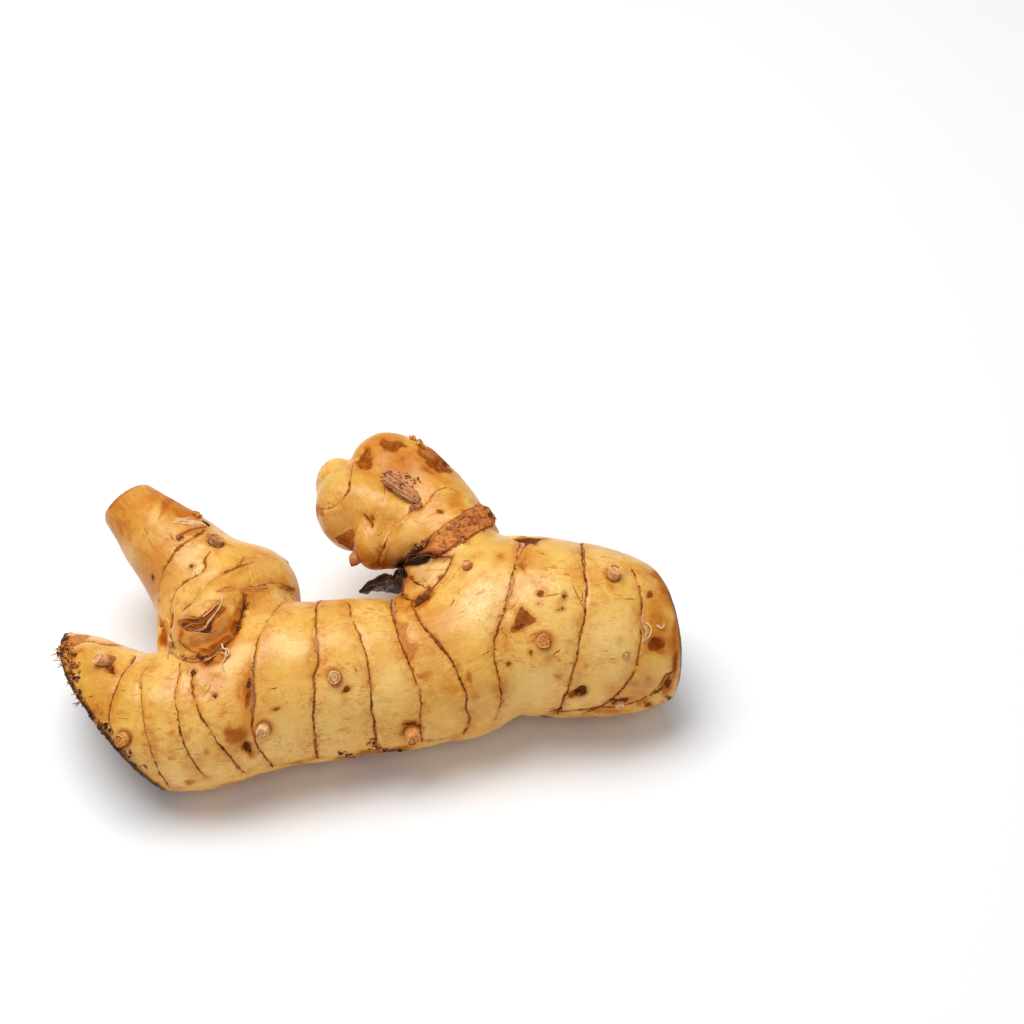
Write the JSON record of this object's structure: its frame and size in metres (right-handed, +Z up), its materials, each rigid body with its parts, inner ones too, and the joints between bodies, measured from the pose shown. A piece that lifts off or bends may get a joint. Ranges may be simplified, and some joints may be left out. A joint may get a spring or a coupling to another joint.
{
  "type": "galangal rhizome",
  "caption": "Fresh greater galangal rhizome lying on its side: a stout ringed limb with a cut leafy-stem stub and a knobbly young head, waxy ivory-gold skin.",
  "frame": {"origin": "middle of the bounding box, at the ground the rhizome rests on", "axes": "+Z up; +X along the main limb towards the broad broken end; +Y to the side where the stem stub and the young head grow"},
  "size_m": [0.1292, 0.0794, 0.0386],
  "materials": {
    "skin": "satin"
  },
  "bodies": {
    "root": {"rhizome": "skin"}
  },
  "joints": []
}
